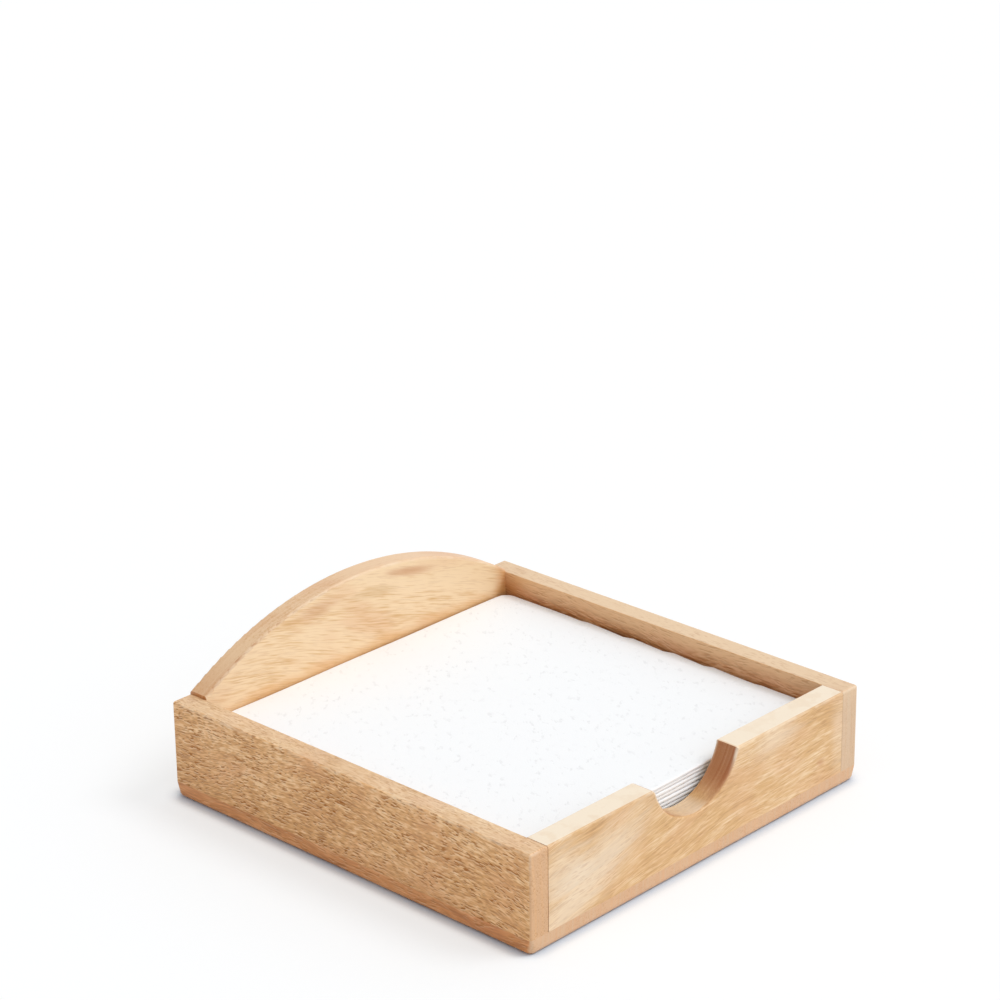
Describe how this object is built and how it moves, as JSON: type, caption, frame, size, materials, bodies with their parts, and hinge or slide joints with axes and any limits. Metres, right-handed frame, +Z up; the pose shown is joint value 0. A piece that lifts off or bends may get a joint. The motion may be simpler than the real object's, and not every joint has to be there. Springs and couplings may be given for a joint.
{
  "type": "napkin holder tray",
  "caption": "Open square wooden tray holding a stack of folded paper napkins, with a finger notch in its front board and an arched back board.",
  "frame": {"origin": "on the ground under the middle of the tray", "axes": "+Z up, -Y out of the notched front board, +Y out of the arched back board, +X to the right seen from the front"},
  "size_m": [0.19, 0.19, 0.0673],
  "materials": {
    "rail_wood": "satin",
    "board_wood": "satin",
    "base_wood": "satin",
    "dowel_wood": "matte",
    "screw_steel": "satin",
    "napkin_paper": "matte"
  },
  "bodies": {
    "tray": {"base_panel": "base_wood", "left_side_rail": "rail_wood", "right_side_rail": "rail_wood", "front_board": "board_wood", "back_board": "board_wood", "corner_dowels": "dowel_wood", "base_screws": "screw_steel"},
    "napkin_stack": {"napkin_01": "napkin_paper", "napkin_02": "napkin_paper", "napkin_03": "napkin_paper", "napkin_04": "napkin_paper", "napkin_05": "napkin_paper", "napkin_06": "napkin_paper", "napkin_07": "napkin_paper", "napkin_08": "napkin_paper", "napkin_09": "napkin_paper", "napkin_10": "napkin_paper", "napkin_11": "napkin_paper", "napkin_12": "napkin_paper", "napkin_13": "napkin_paper", "napkin_14": "napkin_paper"},
    "top_napkin": {"napkin_15": "napkin_paper"}
  },
  "joints": [
    {"name": "stack_lift", "type": "slide", "parent": "tray", "child": "napkin_stack", "axis": [0, 0, 1], "range_m": [0, 0.07]},
    {"name": "top_napkin_lift", "type": "slide", "parent": "napkin_stack", "child": "top_napkin", "axis": [0, 0, 1], "range_m": [0, 0.06]}
  ]
}
